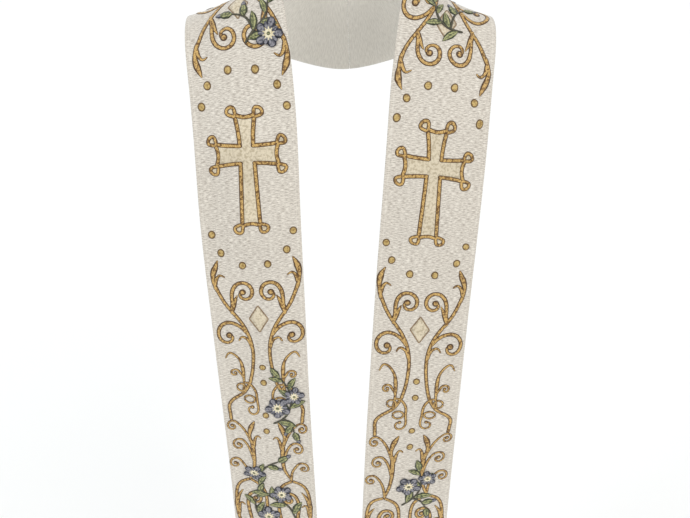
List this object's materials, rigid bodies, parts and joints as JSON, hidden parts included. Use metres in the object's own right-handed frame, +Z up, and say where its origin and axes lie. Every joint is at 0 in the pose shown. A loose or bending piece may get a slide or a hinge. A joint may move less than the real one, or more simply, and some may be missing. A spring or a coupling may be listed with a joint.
{
  "type": "clergy stole",
  "caption": "Long embroidered cloth band worn round the neck, over the shoulders and down the front to free hems, in its worn hollow form.",
  "frame": {"origin": "midway between the shoulders, level with the places where the band's centre line crosses the top of the shoulders", "axes": "+Z up, the wearer faces -Y, +X towards the wearer's left"},
  "size_m": [0.4211, 0.2534, 1.1728],
  "materials": {
    "cloth": "silver-white woven cloth with fine uneven cross threads, soft sheen",
    "gold_embroidery": "satin stitch in gold thread with dark brown edges",
    "leaf_embroidery": "satin stitch in yellow-green to dark olive thread",
    "petal_embroidery": "satin stitch in slate and grey-violet thread"
  },
  "bodies": {
    "root": {"panel_left": "cloth", "panel_right": "cloth"}
  },
  "joints": []
}
